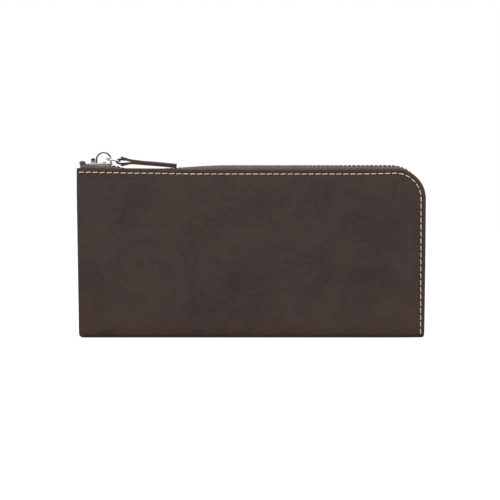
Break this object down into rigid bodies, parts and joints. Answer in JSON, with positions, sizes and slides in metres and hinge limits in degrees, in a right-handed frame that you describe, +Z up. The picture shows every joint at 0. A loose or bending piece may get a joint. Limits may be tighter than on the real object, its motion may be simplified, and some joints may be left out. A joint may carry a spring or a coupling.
{
  "type": "long zip wallet",
  "caption": "Long leather wallet whose L-shaped zip runs along the top and down one side, with card rows, note compartments and a zipped coin pocket.",
  "frame": {"origin": "middle of the bottom fold, on the surface the wallet stands on", "axes": "+X to the right along the wallet, seen from the front; +Y to the back; +Z up"},
  "size_m": [0.2, 0.022, 0.1073],
  "materials": {
    "outer_leather": "waxed, matte with a soft sheen",
    "inner_leather": "matte",
    "pull_leather": "waxed, matte",
    "lining": "woven cloth",
    "board": "matte fibre board",
    "thread": "waxed thread",
    "zip_tape": "woven tape",
    "zip_teeth": "dark antique plating",
    "coil_nylon": "satin nylon",
    "nickel": "polished nickel plating"
  },
  "bodies": {
    "back_half": {"back_panel": "outer_leather", "bottom_fold": "outer_leather", "back_board": "board", "back_lining": "lining", "bottom_lining": "lining", "back_card_row_high": "inner_leather", "back_card_row_mid": "inner_leather", "back_card_row_low": "inner_leather", "left_gusset": "inner_leather", "bill_gusset_left": "lining", "bill_gusset_right": "lining", "back_stitching": "thread", "back_zip_tape": "zip_tape", "back_zip_teeth": "zip_teeth", "back_top_stop": "nickel", "bottom_stop": "nickel", "zip_end_tab": "zip_tape"},
    "front_half": {"front_panel": "outer_leather", "front_board": "board", "front_lining": "lining", "front_card_row_high": "inner_leather", "front_card_row_mid": "inner_leather", "front_card_row_low": "inner_leather", "front_stitching": "thread", "front_zip_tape": "zip_tape", "front_zip_teeth": "zip_teeth", "front_top_stop": "nickel"},
    "slider": {"slider_body": "nickel", "slider_hoop": "nickel"},
    "link": {"pull_link": "nickel"},
    "pull": {"pull_strap": "pull_leather"},
    "coin_pocket": {"coin_wall_front": "lining", "coin_wall_back": "lining", "coin_pocket_binding": "inner_leather", "coin_zip_tape": "zip_tape", "coin_zip_coils": "coil_nylon", "coin_zip_stops": "nickel"},
    "coin_slider": {"coin_slider": "nickel"},
    "coin_pull": {"coin_pull": "nickel"}
  },
  "joints": [
    {"name": "front_opening", "type": "hinge", "parent": "back_half", "child": "front_half", "pos_m": [0, -0.01, 0], "axis": [1, 0, 0], "range_deg": [0, 34]},
    {"name": "slider_travel", "type": "slide", "parent": "back_half", "child": "slider", "axis": [1, 0, 0], "range_m": [0, 0.16]},
    {"name": "coin_pocket_lean", "type": "hinge", "parent": "back_half", "child": "coin_pocket", "pos_m": [0, 0, 0.008], "axis": [1, 0, 0], "range_deg": [0, 12]},
    {"name": "link_lift", "type": "hinge", "parent": "slider", "child": "link", "pos_m": [-0.08294, 0, 0.10317], "axis": [0, -1, 0], "range_deg": [0, 115]},
    {"name": "pull_lift", "type": "hinge", "parent": "link", "child": "pull", "pos_m": [-0.07645, 0, 0.10195], "axis": [0, -1, 0], "range_deg": [0, 70]},
    {"name": "coin_slider_travel", "type": "slide", "parent": "coin_pocket", "child": "coin_slider", "axis": [1, 0, 0], "range_m": [0, 0.134]},
    {"name": "coin_pull_lift", "type": "hinge", "parent": "coin_slider", "child": "coin_pull", "pos_m": [-0.06162, 0, 0.0863], "axis": [0, -1, 0], "range_deg": [0, 170]}
  ],
  "couplings": [
    {"joint": "slider_travel", "follows": "front_opening", "m_per_rad": 0.26794},
    {"joint": "coin_pocket_lean", "follows": "front_opening", "ratio": 0.35}
  ]
}
